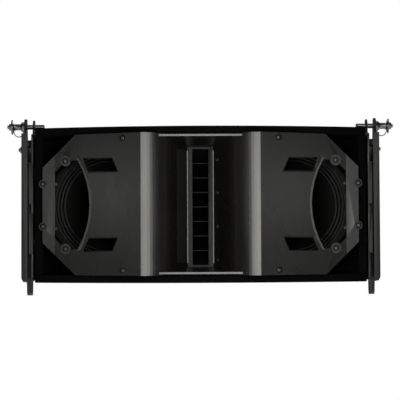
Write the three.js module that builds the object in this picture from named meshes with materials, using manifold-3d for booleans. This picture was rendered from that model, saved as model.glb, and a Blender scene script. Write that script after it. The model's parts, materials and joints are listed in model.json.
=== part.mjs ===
// A passive two-way line array loudspeaker with two 10-inch woofers, seen without its grille.
// Millimetres. +X is to the right seen from the front, the front faces -Y and +Z is up.
// Depths are counted along +Y from the crest of the horn; the finished group is centred on its box.
import * as THREE from 'three';
import { mergeVertices } from 'three/addons/utils/BufferGeometryUtils.js';
import Module from 'manifold-3d';

const wasm = await Module();
wasm.setup();

// ---- driving dimensions ----

const GAP = 0.3;              // between pieces that touch
const TAPER = 5;              // degrees that the top and the bottom each slope in towards the rear

const CABINET_WIDTH = 656;
const CABINET_HEIGHT = 306.5; // at the front corners
const CABINET_REAR = 402;     // outer face of the rear panel
const CORNER_DEPTH = 35;      // front edge at the two sides
const FRONT_BOW = 24;         // how far the front edge comes forward in the middle
const BOARD = 15;             // plywood
const BAFFLE_BOARD = 18;
const BAFFLE_FRONT = 82;
const HORN_SLOT = 52;         // half width of the gap between the boards

const SHELL = 4;              // wall of the front moulding
const MOULDING_SIDE_CLEAR = 2;  // from the moulding's side walls to the side boards
const MOULDING_CLEAR = 0.6;   // to the top and bottom boards
const CORNER_CUT_X = 64;      // cut-off corners of the octagonal ends
const CORNER_CUT_Z = 64;
const PANEL_EDGE_DEPTH = 30;  // moulding face at its flat outer bars
const CREST_X = 118;          // blunt edge where the side panel ends and the crest's arc starts
const CREST_DEPTH = -6;
const CREST_FLAT = 1.5;       // between that edge and the start of the arc
const CREST_RADIUS = 65;      // of the arc from that edge into the horn flank
const THROAT_X = 26;          // half width of the horn at the waveguide
const THROAT_DEPTH = 113;
const THROAT_BELOW_LID = 9.8;   // horn's top wall at the waveguide, under the moulding's lid line
const MOUTH_BELOW_LID = 6.15;   // the same at its front
const MOUTH_LIP_DEPTH = 4;      // front edge of the horn's top and bottom walls
const RIM = 1.5;                // how far the bars reach over the edges of the side boards
const LOBE_RADIUS = 8.5;      // round ears of the four screws in each side bar's edge
const LOBE_Z = 42;
const BAR_WIDTH = 23;         // outer bar of the octagonal end
const PORT_ARC_RADIUS = 176;  // inner edge of the woofer opening
const PORT_WIDTH = 69;        // of the woofer opening, from its arc's middle to the side bar
const PORT_HALF_HEIGHT = 88;
const PORT_CORNER = 22;
const PORT_LIP = 4;
const PORT_LIP_DEPTH = 24;
const BOSS_RADIUS = 10.5;
const BOSS_RISE = 1.5;        // of screw bosses over the face
const SLOT_HEIGHT = 25;       // phase slots above and below each opening
const SLOT_LENGTH = 56;
const SLOT_LEAN = 10;
const SLOT_BESIDE_PORT = 21;  // slot's middle, from the arc towards the horn
const SLOT_BELOW_EDGE = 9;    // slot's middle, from the level of the opening's top edge
const SLOT_BEVEL = 2.5;

const CELLS = 8;              // cells of the high-frequency waveguide
const CELL_WALL = 1.6;
const CELL_HALF_WIDTH = 16;
const CELL_FAN_DEPTH = 46;
const GUIDE_WALL = 3.5;
const GUIDE_DEPTH = 120;
const DRIVER_THROAT_RADIUS = 18;
const DRIVER_FLANGE = 104;
const DRIVER_RADIUS = 76;
const DRIVER_LENGTH = 46;

const STRIP_THICK = 2;
const STRIP_FROM = 27;        // along X, from the throat out over the left flank
const STRIP_TO = 47;
const STRIP_HALF_HEIGHT = 114;

const WOOFER_SIDE_CLEAR = 10;  // woofer's frame to the side board
const WOOFER_RADIUS = 122;
const WOOFER_FLANGE = 6;
const WOOFER_RIM = 10;        // width of the frame's flange round the surround
const SURROUND_WIDTH = 25;
const SURROUND_ROLLS = 3;
const ROLL_HEIGHT = 3.4;
const CONE_DROP = 46;
const CONE_WALL = 1.2;
const DUST_CAP_RADIUS = 42;
const DUST_CAP_RISE = 11;
const COIL_RADIUS = 32;
const SPIDER_RADIUS = 60;
const SPIDER_LEDGE = 13;      // height of the spider's seat over the motor
const BASKET_DEPTH = 92;
const BASKET_LEGS = 6;
const MAGNET_RADIUS = 78;
const MAGNET_HEIGHT = 20;
const STEEL_PLATE = 8;

const CROSSOVER_WIDTH = 150;
const CROSSOVER_DEPTH = 84;
const CROSSOVER_REAR = 360;

const INNER_PLATE = 4;        // rigging plates on each side
const OUTER_PLATE = 5;
const PLATE_INSET = 4;        // inner plate to the side board
const LINK_THICK = 10;
const LINK_PLAY = 1;        // each side of a link between its plates
const LINK_WIDTH = 44;
const LINK_Y = 95;
const LINK_REACH = 24;        // tongue below the cabinet
const LINK_TOP = 88;
const LINK_TRAVEL = 26;
const PIN_RADIUS = 5;
const PIN_FIT = 0.45;         // radial play of a pin in its holes
const PIN_ABOVE_TOP = 13;    // pin axis over the sloping top board
const PIN_INSIDE = 15;        // how far the pin reaches in over the cabinet
const EAR_OUTER = 16;
const EAR_INNER = 13.5;
const REAR_PIN_Y = 368;
const ARM_LENGTH = 112;
const ARM_WIDTH = 30;
const ARM_PIVOT_Y = 352;
const ARM_PIVOT_Z = -66;
const BUTTON_TRAVEL = 3;
const PLATE_FRONT = 40;
const PLATE_REAR = 408;
const PLATE_DROP = 9;         // top edge of the plates under the line of the cabinet's top
const PLATE_RISE = 1;         // bottom edge of the plates over the line of its bottom
const GUIDE_RADIUS = 6;
const GUIDE_Z = 44;
const SPACER_Z = 124;
const ANGLE_HOLES = 5;
const ANGLE_ARC = 46;         // radius of their row below the rear pin
const FLANGE_WIDTH = 12;
const FLANGE_LIP = 2;
const PAD_RADIUS = 14;        // standoff pads between the inner plate and the cabinet
const TAB_THICK = 3;
const TAB_OUT = 8;
const HEAD_RADIUS = 10.5;
const HEAD_LENGTH = 31;
const DISC_RADIUS = 15;       // of the thumb disc near the end of the head
const BUTTON_RADIUS = 4;

// rear panel
const PLATE_WIDTH = 168;
const PLATE_HEIGHT = 118;
const PLATE_RIM = 12;
const PLATE_THICK = 2.5;
const HANDLE_X = 205;
const HANDLE_WIDTH = 132;
const HANDLE_HEIGHT = 108;
const HANDLE_RIM = 10;
const HANDLE_CUP = 42;
const SOCKET_X = 34;
const SOCKET_RADIUS = 13;

const ROUND = 24;             // sides of the woofers' large circles

// ---- values that follow from them ----

const halfWidth = CABINET_WIDTH / 2;
const halfHeight = CABINET_HEIGHT / 2;
const slope = Math.tan(THREE.MathUtils.degToRad(TAPER));
const frontEdge = (x) => CORNER_DEPTH - FRONT_BOW * (1 - (x / halfWidth) ** 2);
const outerTop = (y) => halfHeight - slope * (y - CORNER_DEPTH);
const innerTop = (y) => outerTop(y) - BOARD / Math.cos(Math.atan(slope));
const innerSide = halfWidth - BOARD;
const innerRear = CABINET_REAR - BOARD;
const lidLine = (y) => innerTop(y) - MOULDING_CLEAR;
const mouldingSide = innerSide - MOULDING_SIDE_CLEAR;
const throatHalfHeight = lidLine(THROAT_DEPTH) - THROAT_BELOW_LID;
const mouthHalfHeight = lidLine(0) - MOUTH_BELOW_LID;
const portEnd = mouldingSide - BAR_WIDTH;
const portArcX = portEnd - PORT_WIDTH;
const slotX = portArcX - SLOT_BESIDE_PORT;
const slotZ = PORT_HALF_HEIGHT - SLOT_BELOW_EDGE;
const surroundOuter = WOOFER_RADIUS - WOOFER_RIM;
const surroundInner = surroundOuter - SURROUND_WIDTH;
const wooferX = innerSide - WOOFER_RADIUS - WOOFER_SIDE_CLEAR;

// ---- small tools: outlines, extrusions, revolves and lofts ----

/** Closed outline through corner points [a, b, radius], each rounded to its own radius. */
function outline(corners, commonRadius = 0) {
  const shape = new THREE.Shape();
  corners.forEach(([a, b, radius = commonRadius], i) => {
    const corner = new THREE.Vector2(a, b);
    const [beforeA, beforeB] = corners.at(i - 1);
    const [afterA, afterB] = corners[(i + 1) % corners.length];
    const back = new THREE.Vector2(beforeA, beforeB).sub(corner).normalize();
    const ahead = new THREE.Vector2(afterA, afterB).sub(corner).normalize();
    const half = Math.acos(THREE.MathUtils.clamp(back.dot(ahead), -1, 1)) / 2;
    const reach = radius / Math.tan(half);
    const start = corner.clone().addScaledVector(back, reach);
    const end = corner.clone().addScaledVector(ahead, reach);
    if (i === 0) shape.moveTo(start.x, start.y);
    else shape.lineTo(start.x, start.y);
    if (radius === 0) return;
    const centre = back.clone().add(ahead).setLength(radius / Math.sin(half)).add(corner);
    const from = start.sub(centre).angle();
    const to = end.sub(centre).angle();
    shape.absarc(centre.x, centre.y, radius, from, to, back.cross(ahead) > 0);
  });
  return shape;
}

const box2 = (a0, b0, a1, b1, radius = 0) => outline([[a0, b0], [a1, b0], [a1, b1], [a0, b1]], radius);

/** Solid for joining and cutting, from a closed three.js geometry. */
function solid(geometry) {
  const bare = geometry.clone();
  bare.deleteAttribute('normal');
  bare.deleteAttribute('uv');
  const merged = mergeVertices(bare, 1e-4);
  const faces = [];
  for (let i = 0; i < merged.index.count; i += 3) {
    const [a, b, c] = [0, 1, 2].map((k) => merged.index.getX(i + k));
    if (a !== b && b !== c && c !== a) faces.push(a, b, c);
  }
  return new wasm.Manifold(new wasm.Mesh({
    numProp: 3,
    vertProperties: new Float32Array(merged.attributes.position.array),
    triVerts: new Uint32Array(faces),
  }));
}

const AXES = {
  x: [new THREE.Vector3(0, 1, 0), new THREE.Vector3(0, 0, 1), new THREE.Vector3(1, 0, 0)],
  y: [new THREE.Vector3(1, 0, 0), new THREE.Vector3(0, 0, 1), new THREE.Vector3(0, -1, 0)],
  z: [new THREE.Vector3(1, 0, 0), new THREE.Vector3(0, 1, 0), new THREE.Vector3(0, 0, 1)],
};

/** Extrude a shape along an axis between two places; x takes (y, z), y takes (x, z), z takes (x, y). */
function extrude(shape, axis, from, to, curveSegments = 2) {
  const geometry = new THREE.ExtrudeGeometry(shape, { depth: to - from, bevelEnabled: false, curveSegments });
  geometry.applyMatrix4(new THREE.Matrix4().makeBasis(...AXES[axis]));
  const shift = { x: [from, 0, 0], y: [0, to, 0], z: [0, 0, from] }[axis];
  return solid(geometry.translate(...shift));
}

/** Revolve [radius, depth] points about an axis along Y through (x, z). */
function revolve(points, x = 0, z = 0, segments = 20) {
  const profile = points.map(([radius, depth]) => new THREE.Vector2(radius, depth));
  const loop = profile[0].x > 0 ? [...profile, profile[0]] : profile;
  if (THREE.ShapeUtils.area(profile) < 0) loop.reverse();
  return solid(new THREE.LatheGeometry(loop, segments).translate(x, 0, z));
}

/** Revolve [radius, along] points about an axis along X through (y, z). */
function revolveX(points, y, z, segments = 12) {
  const profile = points.map(([radius, along]) => new THREE.Vector2(radius, along));
  const loop = profile[0].x > 0 ? [...profile, profile[0]] : profile;
  if (THREE.ShapeUtils.area(profile) < 0) loop.reverse();
  return solid(new THREE.LatheGeometry(loop, segments).rotateZ(-Math.PI / 2).translate(0, y, z));
}

/** Round rod or cutter along Y between two depths. */
const rod = (x, z, radius, y0, y1, segments = 20) =>
  solid(new THREE.CylinderGeometry(radius, radius, y1 - y0, segments).translate(x, (y0 + y1) / 2, z));

/** Round rod or cutter along X. */
const rodX = (y, z, radius, x0, x1, segments = 12) =>
  revolveX([[0, x0], [radius, x0], [radius, x1], [0, x1]], y, z, segments);

/** Skin a row of equal rings of Vector3 into one closed solid. */
function loft(rings) {
  const count = rings[0].length;
  const position = rings.flat().flatMap((point) => point.toArray());
  const faces = [];
  for (let r = 0; r + 1 < rings.length; r++) {
    for (let i = 0; i < count; i++) {
      const j = (i + 1) % count;
      const [a, b, c, d] = [r * count + i, r * count + j, (r + 1) * count + j, (r + 1) * count + i];
      faces.push(a, b, c, a, c, d);
    }
  }
  const last = (rings.length - 1) * count;
  for (let i = 1; i + 1 < count; i++) {
    faces.push(0, i + 1, i);
    faces.push(last, last + i, last + i + 1);
  }
  const geometry = new THREE.BufferGeometry();
  geometry.setAttribute('position', new THREE.Float32BufferAttribute(position, 3));
  geometry.setIndex(faces);
  return solid(geometry);
}

/** Mirror copy across x = 0 or z = 0, with its faces turned round. */
function flip(body, axis = 'x') {
  const { vertProperties, triVerts } = body.getMesh();
  const geometry = new THREE.BufferGeometry();
  geometry.setAttribute('position', new THREE.BufferAttribute(vertProperties.slice(), 3));
  geometry.setIndex(Array.from(triVerts).reverse());
  return solid(geometry.scale(axis === 'x' ? -1 : 1, 1, axis === 'z' ? -1 : 1));
}

const join = (...parts) => parts.reduce((whole, part) => whole.add(part));
const cut = (body, ...tools) => tools.reduce((rest, tool) => rest.subtract(tool), body);

// ---- the model: named meshes, each with its own finish ----

const model = new THREE.Group();
const FINISH = {
  paint: { color: 0x0b0b0c, roughness: 0.7, metalness: 0 },
  plastic: { color: 0x1b1b1c, roughness: 0.38, metalness: 0 },
  steelBlack: { color: 0x2a2a2a, roughness: 0.5, metalness: 0.6 },
  steelBright: { color: 0x9a9a98, roughness: 0.3, metalness: 1 },
  ferrite: { color: 0x2e2d2c, roughness: 0.8, metalness: 0 },
  paper: { color: 0x121212, roughness: 0.85, metalness: 0 },
  cloth: { color: 0x0a0a0a, roughness: 0.9, metalness: 0 },
  board: { color: 0x0f3d24, roughness: 0.5, metalness: 0 },
  copper: { color: 0x9a5a30, roughness: 0.4, metalness: 0.8 },
};

/** Put a solid in the model as a named mesh. */
function place(name, body, finish) {
  const { vertProperties, triVerts } = body.getMesh();
  const geometry = new THREE.BufferGeometry();
  geometry.setAttribute('position', new THREE.BufferAttribute(vertProperties.slice(), 3));
  geometry.setIndex(Array.from(triVerts));
  geometry.computeVertexNormals();
  const mesh = new THREE.Mesh(geometry, new THREE.MeshStandardMaterial(FINISH[finish]));
  mesh.name = name;
  model.add(mesh);
}

/** A piece made once for the right-hand side and mirrored to the left. */
function placePair(name, body, finish) {
  place(`${name}_right`, body, finish);
  place(`${name}_left`, flip(body), finish);
}

// ---- cabinet: plywood boards with a bowed front and tapered top and bottom ----

function cabinetPlan() {
  const corners = [];
  const steps = 16;
  for (let i = 0; i <= steps; i++) {
    const x = -halfWidth + (CABINET_WIDTH * i) / steps;
    corners.push([x, frontEdge(x)]);
  }
  return outline([...corners, [halfWidth, CABINET_REAR], [-halfWidth, CABINET_REAR]]);
}

function cabinetBoards() {
  const plan = extrude(cabinetPlan(), 'z', -halfHeight * 2, halfHeight * 2);
  const depthEnd = CABINET_REAR + 1;
  const board = extrude(outline([
    [0, outerTop(0)], [0, innerTop(0)], [depthEnd, innerTop(depthEnd)], [depthEnd, outerTop(depthEnd)],
  ]), 'x', -halfWidth, halfWidth).intersect(plan);
  place('cabinet_top', board, 'paint');
  place('cabinet_bottom', flip(board, 'z'), 'paint');

  const wedge = (inset) => [
    [CORNER_DEPTH, -innerTop(CORNER_DEPTH) + inset], [innerRear - inset, -innerTop(innerRear) + inset],
    [innerRear - inset, innerTop(innerRear) - inset], [CORNER_DEPTH, innerTop(CORNER_DEPTH) - inset],
  ];
  placePair('cabinet_side', extrude(outline(wedge(GAP)), 'x', innerSide, halfWidth), 'paint');
}

// ---- rear panel with the openings of the connector plate and the two handles ----

function rearPanel() {
  const height = innerTop(innerRear + BOARD) - GAP;
  let panel = extrude(box2(-halfWidth, -height, halfWidth, height), 'y', innerRear + GAP, CABINET_REAR);
  const hole = (x, width, height2, rim) => extrude(
    box2(x - width / 2 + rim, -height2 / 2 + rim, x + width / 2 - rim, height2 / 2 - rim, 6),
    'y', innerRear - 1, CABINET_REAR + 1);
  panel = cut(panel, hole(0, PLATE_WIDTH, PLATE_HEIGHT, PLATE_RIM),
    hole(HANDLE_X, HANDLE_WIDTH, HANDLE_HEIGHT, HANDLE_RIM),
    hole(-HANDLE_X, HANDLE_WIDTH, HANDLE_HEIGHT, HANDLE_RIM));
  place('cabinet_rear', panel, 'paint');
}

function connectorPlate() {
  const back = CABINET_REAR + GAP;
  let plate = extrude(box2(-PLATE_WIDTH / 2, -PLATE_HEIGHT / 2, PLATE_WIDTH / 2, PLATE_HEIGHT / 2, 6),
    'y', back, back + PLATE_THICK);
  for (const side of [-1, 1]) {
    plate = cut(plate, rod(side * SOCKET_X, 0, SOCKET_RADIUS + GAP, back - 1, back + PLATE_THICK + 1));
  }
  place('connector_plate', plate, 'steelBlack');
  for (const [name, x] of [['speaker_socket_in', -SOCKET_X], ['speaker_socket_link', SOCKET_X]]) {
    const face = back + PLATE_THICK + GAP;
    const body = join(rod(x, 0, SOCKET_RADIUS, back - 24, face + 1.5),
      extrude(box2(x - 15.5, -19, x + 15.5, 19, 4), 'y', face, face + 3));
    const ring = revolve([[6.5, back - 16], [10.2, back - 16], [10.2, face + 4], [6.5, face + 4]], x, 0, 24);
    place(name, cut(body, ring), 'plastic');
  }
}

function rearHandle() {
  const back = CABINET_REAR + GAP;
  const half = HANDLE_WIDTH / 2;
  const tall = HANDLE_HEIGHT / 2;
  const rim = HANDLE_RIM + GAP;
  const cupFront = CABINET_REAR - HANDLE_CUP;
  const ring = (w, h, y) => box2(HANDLE_X - w, -h, HANDLE_X + w, h, 8).getPoints(3)
    .slice(0, -1).map((p) => new THREE.Vector3(p.x, y, p.y));
  const cup = (draft, wall) => loft([
    ring(half - rim - wall, tall - rim - wall, back + 1 + wall),
    ring(half - rim - wall - draft, tall - rim - wall - draft, cupFront + wall),
  ]);
  const flange = extrude(box2(HANDLE_X - half, -tall, HANDLE_X + half, tall, 8), 'y', back, back + 3);
  const grip = rodX(CABINET_REAR - 8, 0, 11, HANDLE_X - half + rim, HANDLE_X + half - rim, 16);
  placePair('rear_handle', join(cut(join(flange, cup(12, 0)), cup(12, 3)), grip), 'plastic');
}

// ---- baffle boards, one on each side of the horn ----

function baffle() {
  const height = innerTop(BAFFLE_FRONT + BAFFLE_BOARD) - GAP;
  const board = extrude(box2(HORN_SLOT, -height, innerSide - GAP, height), 'y',
    BAFFLE_FRONT, BAFFLE_FRONT + BAFFLE_BOARD);
  const hole = rod(wooferX, 0, surroundOuter + GAP, BAFFLE_FRONT - 1, BAFFLE_FRONT + BAFFLE_BOARD + 1, ROUND);
  placePair('baffle_board', cut(board, hole), 'paint');
}

// ---- front moulding: horn flanks, crests, octagonal ends, woofer openings and phase slots ----

/** Where the horn flank would meet the plane of the crest, so that the arc starts at the crest's edge. */
function flankFoot() {
  let foot = CREST_X;
  for (let i = 0; i < 40; i++) {
    const turn = Math.atan2(THROAT_DEPTH - CREST_DEPTH, foot - THROAT_X);
    foot = (foot + CREST_X - CREST_FLAT - CREST_RADIUS * Math.tan(turn / 2)) / 2;
  }
  return foot;
}
const flankX = flankFoot();
const flankSlope = (CREST_DEPTH - THROAT_DEPTH) / (flankX - THROAT_X);
const panelSlope = (PANEL_EDGE_DEPTH - CREST_DEPTH) / (portEnd - CREST_X);
const faceDepth = (x) => CREST_DEPTH + panelSlope * (x - CREST_X);
const hornLine = (y) => mouthHalfHeight + ((throatHalfHeight - mouthHalfHeight) * y) / THROAT_DEPTH;
const mouldingHalfHeight = lidLine(PANEL_EDGE_DEPTH);
const mouldingBack = BAFFLE_FRONT - GAP;
const bossBack = BAFFLE_FRONT - WOOFER_FLANGE - 2 * GAP;
const bossX = portEnd - PORT_CORNER + 1;
const FAR = 200;

/** Everything behind the right half of the front face, moved back by an inset. */
function behindFace(inset) {
  const flankShift = inset * Math.hypot(1, flankSlope);
  const panelShift = inset * Math.hypot(1, panelSlope);
  const crestDepth = CREST_DEPTH + inset;
  const footX = flankX + (inset - flankShift) / flankSlope;
  const crestX = CREST_X + (inset - panelShift) / panelSlope;
  const back = THROAT_DEPTH + 3 * inset;
  const throatX = THROAT_X + (back - flankShift - THROAT_DEPTH) / flankSlope;
  const barX = portEnd + (inset - panelShift) / panelSlope;
  const side = mouldingSide + RIM;
  return extrude(outline([[throatX, back], [footX, crestDepth, CREST_RADIUS - inset], [crestX, crestDepth],
    [barX, PANEL_EDGE_DEPTH + inset], [side, PANEL_EDGE_DEPTH + inset], [side, back]]), 'z', -FAR, FAR, 7);
}

/** The space between two mirrored lines that run back along the depth, such as the tapered lids. */
const between = (line, y0, y1) => extrude(outline([[y0, -line(y0)], [y1, -line(y1)], [y1, line(y1)],
  [y0, line(y0)]]), 'x', -FAR * 2, FAR * 2);

/** The right half of the octagonal outline, drawn in by an inset. */
function octagonHalf(inset) {
  const x = mouldingSide - inset;
  const cutX = mouldingSide - CORNER_CUT_X - inset * 0.41;
  const cutZ = mouldingHalfHeight - CORNER_CUT_Z - inset * 0.41;
  const run = FAR - mouldingHalfHeight;
  const topX = cutX - (run * CORNER_CUT_X) / CORNER_CUT_Z;
  return extrude(outline([[0, -FAR], [topX, -FAR], [x, -cutZ], [x, cutZ], [topX, FAR], [0, FAR]]),
    'y', -FAR, FAR);
}

const portArc = (grow) => rod(portArcX + PORT_ARC_RADIUS, 0, PORT_ARC_RADIUS + grow, -FAR, FAR, 48);

function portFrame(grow, y0, y1) {
  const h = PORT_HALF_HEIGHT + grow;
  const x = portEnd + grow;
  const corner = PORT_CORNER + grow * 0.41;
  return extrude(outline([[CREST_X, -h], [x - corner, -h], [x, corner - h], [x, h - corner],
    [x - corner, h], [CREST_X, h]]), 'y', y0, y1);
}

/** A leaning slot through the side panel, wider at the face so that its edge is bevelled. */
function phaseSlot() {
  const ring = (grow, y) => [[-1, 1, SLOT_LEAN / 2], [-1, -1, SLOT_LEAN / -2], [1, -1, SLOT_LEAN / -2],
    [1, 1, SLOT_LEAN / 2]].map(([a, b, lean]) => new THREE.Vector3(
    slotX + lean + a * (SLOT_LENGTH / 2 + grow), y + a * panelSlope * (SLOT_LENGTH / 2 + grow),
    slotZ + b * (SLOT_HEIGHT / 2 + grow)));
  const face = faceDepth(slotX);
  return loft([ring(0, face + 3 * SHELL), ring(0, face + SLOT_BEVEL), ring(2 * SLOT_BEVEL, face - SLOT_BEVEL)]);
}

function mouldingHalf() {
  const horn = between((y) => hornLine(y) + SHELL, -FAR, FAR);
  const shaft = extrude(box2(0, -FAR, HORN_SLOT - GAP, FAR), 'z', -FAR, FAR);
  const front = extrude(box2(0, -FAR, mouldingSide, mouldingBack), 'z', -FAR, FAR);
  const skin = cut(behindFace(0).intersect(octagonHalf(0)).intersect(between(lidLine, -FAR, FAR)),
    behindFace(SHELL).intersect(octagonHalf(SHELL)).intersect(between((y) => lidLine(y) - SHELL, -FAR, FAR)));
  const outer = skin.intersect(join(front, shaft.intersect(horn)));
  const rimBack = CORNER_DEPTH - 2 * GAP;
  const rimSpace = extrude(box2(HORN_SLOT, -FAR, mouldingSide + RIM, rimBack), 'z', -FAR, FAR);
  const rim = cut(behindFace(0).intersect(octagonHalf(-RIM)).intersect(rimSpace)
    .intersect(between(lidLine, -FAR, FAR)), behindFace(SHELL), octagonHalf(SHELL));
  const lobes = [-1, 1].map((side) => rod(mouldingSide + 1, side * LOBE_Z, LOBE_RADIUS,
    PANEL_EDGE_DEPTH - BOSS_RISE, rimBack, 20));

  const lidBox = extrude(box2(-1, MOUTH_LIP_DEPTH, CREST_X, THROAT_DEPTH), 'z', -FAR, FAR);
  const lids = cut(lidBox.intersect(horn), between(hornLine, -FAR, FAR), behindFace(SHELL));

  const lipFront = faceDepth(portArcX) - 2;
  const lip = cut(portArc(PORT_LIP), portArc(0))
    .intersect(portFrame(PORT_LIP, lipFront, lipFront + PORT_LIP_DEPTH));
  const bosses = [-1, 1].map((side) => rod(bossX, side * (PORT_HALF_HEIGHT - 1), BOSS_RADIUS,
    faceDepth(bossX) - BOSS_RISE, bossBack, 20));
  const port = portArc(0).intersect(portFrame(0, -FAR, mouldingBack - SHELL));
  const slot = phaseSlot();
  return join(cut(outer, port, slot, flip(slot, 'z')), rim, lids, lip, ...lobes, ...bosses);
}

function frontMoulding() {
  const half = mouldingHalf();
  place('front_moulding', join(half, flip(half)), 'plastic');
}

// ---- high-frequency waveguide, its driver and the cover strip beside the throat ----

const guideFront = THROAT_DEPTH + GAP;
const guideBack = guideFront + GUIDE_DEPTH;

/** Ring of points that turns from the mouth's rectangle into the driver's round throat. */
function guideRing(share, grow, y) {
  const steps = 12;
  const ring = [];
  const halfTall = throatHalfHeight - GUIDE_WALL + grow;
  const halfWide = CELL_HALF_WIDTH + grow;
  for (let i = 0; i < steps; i++) {
    const angle = (2 * Math.PI * (i + 0.5)) / steps;
    const [c, s] = [Math.cos(angle), Math.sin(angle)];
    const reach = 1 / Math.max(Math.abs(c), Math.abs(s));
    const round = DRIVER_THROAT_RADIUS + grow;
    ring.push(new THREE.Vector3(
      THREE.MathUtils.lerp(c * reach * halfWide, c * round, share), y,
      THREE.MathUtils.lerp(s * reach * halfTall, s * round, share)));
  }
  return ring.reverse();
}

function waveguide() {
  const shares = [0, 0.16, 0.5, 0.84, 1];
  const sleeve = (grow, over) => loft(shares.map((share, i) => guideRing(share, grow,
    guideFront - (i === 0 ? over : 0) + (GUIDE_DEPTH * i) / (shares.length - 1)
      + (i === shares.length - 1 ? over : 0))));
  const frameTall = throatHalfHeight + SHELL;
  const frame = extrude(box2(-THROAT_X - SHELL, -frameTall, THROAT_X + SHELL, frameTall), 'y',
    guideFront, guideFront + 5);
  const flange = extrude(box2(-DRIVER_FLANGE / 2, -DRIVER_FLANGE / 2, DRIVER_FLANGE / 2, DRIVER_FLANGE / 2, 12),
    'y', guideBack - 6, guideBack);
  const body = cut(join(sleeve(GUIDE_WALL, 0), frame, flange), sleeve(0, 1));
  const pitch = (2 * (throatHalfHeight - GUIDE_WALL)) / CELLS;
  const walls = [];
  for (let i = 1; i < CELLS; i++) {
    const z = pitch * (i - CELLS / 2);
    const rear = z * 0.86;
    walls.push(extrude(outline([
      [guideFront + 1, z - CELL_WALL / 2], [guideFront + CELL_FAN_DEPTH, rear - CELL_WALL / 2],
      [guideFront + CELL_FAN_DEPTH, rear + CELL_WALL / 2], [guideFront + 1, z + CELL_WALL / 2],
    ]), 'x', -CELL_HALF_WIDTH - 1, CELL_HALF_WIDTH + 1));
  }
  place('hf_waveguide', join(body, ...walls), 'plastic');
}

function hfDriver() {
  const front = guideBack + GAP;
  const back = front + DRIVER_LENGTH;
  const body = revolve([[DRIVER_THROAT_RADIUS, front], [DRIVER_FLANGE / 2, front], [DRIVER_FLANGE / 2, front + 8],
    [DRIVER_RADIUS, front + 10], [DRIVER_RADIUS, back - 4], [DRIVER_RADIUS - 4, back],
    [DRIVER_THROAT_RADIUS, back]]);
  place('hf_driver_body', body, 'ferrite');
  const capFront = back + GAP;
  const cap = revolve([[0, capFront], [DRIVER_RADIUS - 12, capFront], [DRIVER_RADIUS - 14, capFront + 14],
    [DRIVER_RADIUS - 24, capFront + 18], [0, capFront + 18]]);
  place('hf_driver_cap', cap, 'plastic');
}

/** Thin plate lying on the left flank of the horn beside the throat. */
function coverStrip() {
  const lift = GAP * Math.hypot(1, flankSlope);
  const skin = STRIP_THICK * Math.hypot(1, flankSlope);
  const flank = (x, out) => THROAT_DEPTH + flankSlope * (x - THROAT_X) - out;
  const strip = extrude(outline([[STRIP_FROM, flank(STRIP_FROM, lift)], [STRIP_TO, flank(STRIP_TO, lift)],
    [STRIP_TO, flank(STRIP_TO, lift + skin)], [STRIP_FROM, flank(STRIP_FROM, lift + skin)]]), 'z',
    -STRIP_HALF_HEIGHT, STRIP_HALF_HEIGHT);
  place('throat_cover_strip', flip(strip), 'plastic');
}

// ---- woofers ----

const flangeFront = BAFFLE_FRONT - GAP - WOOFER_FLANGE;
const landing = flangeFront + 3.2;
const coneEdge = surroundInner - GAP;
const topPlateFront = flangeFront + BASKET_DEPTH + GAP;

/** Frame with a flange, six open legs and a seat for the magnet. */
function wooferBasket() {
  const throat = MAGNET_RADIUS - 16;
  const back = flangeFront + BASKET_DEPTH;
  const rim = flangeFront + WOOFER_FLANGE;
  const outer = surroundOuter - 2;
  let frame = revolve([
    [surroundOuter - 3, rim - 1], [surroundOuter - 3, landing], [surroundOuter, landing],
    [surroundOuter, flangeFront], [WOOFER_RADIUS, flangeFront], [WOOFER_RADIUS, rim], [outer, rim],
    [outer - 8, rim + 32], [throat + 4, back], [COIL_RADIUS + 6, back], [COIL_RADIUS + 6, back - 3],
    [SPIDER_RADIUS - 6, back - 3], [SPIDER_RADIUS - 6, back - SPIDER_LEDGE], [throat + 5, back - SPIDER_LEDGE],
    [outer - 11, rim + 31],
  ], wooferX, 0, ROUND);
  const windowShape = (angle) => {
    const [c, s] = [Math.cos(angle), Math.sin(angle)];
    const [inner, far, half, spread] = [throat - 4, outer + 20, 16, 30];
    const at = (r, t) => [wooferX + r * c - t * s, r * s + t * c];
    return outline([at(inner, -half), at(far, -spread), at(far, spread), at(inner, half)]);
  };
  for (let i = 0; i < BASKET_LEGS; i++) {
    const angle = (2 * Math.PI * (i + 0.5)) / BASKET_LEGS;
    frame = cut(frame, extrude(windowShape(angle), 'y', rim + 22, back - 8));
  }
  placePair('woofer_basket', frame, 'steelBlack');
}

/** Ring with three round rolls, from the seat on the frame in to the cone. */
function wooferSurround() {
  const edge = surroundOuter - GAP;
  const seat = landing - GAP;
  const rollsEnd = edge - 4.5;
  const roll = (rollsEnd - surroundInner) / SURROUND_ROLLS;
  const front = [];
  const steps = 3;
  for (let i = 0; i < SURROUND_ROLLS * steps; i++) {
    const turn = (Math.PI * i) / steps;
    const along = Math.floor(i / steps) + (1 - Math.cos(turn % Math.PI)) / 2;
    front.push([surroundInner + roll * along, seat - 2 - ROLL_HEIGHT * Math.abs(Math.sin(turn))]);
  }
  const rubber = revolve([...front, [rollsEnd, seat - 2], [edge, seat - 2], [edge, seat], [rollsEnd, seat],
    [rollsEnd, seat + 1.5], [surroundInner, seat + 1.5]], wooferX, 0, ROUND);
  placePair('woofer_surround', rubber, 'cloth');
}

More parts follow.
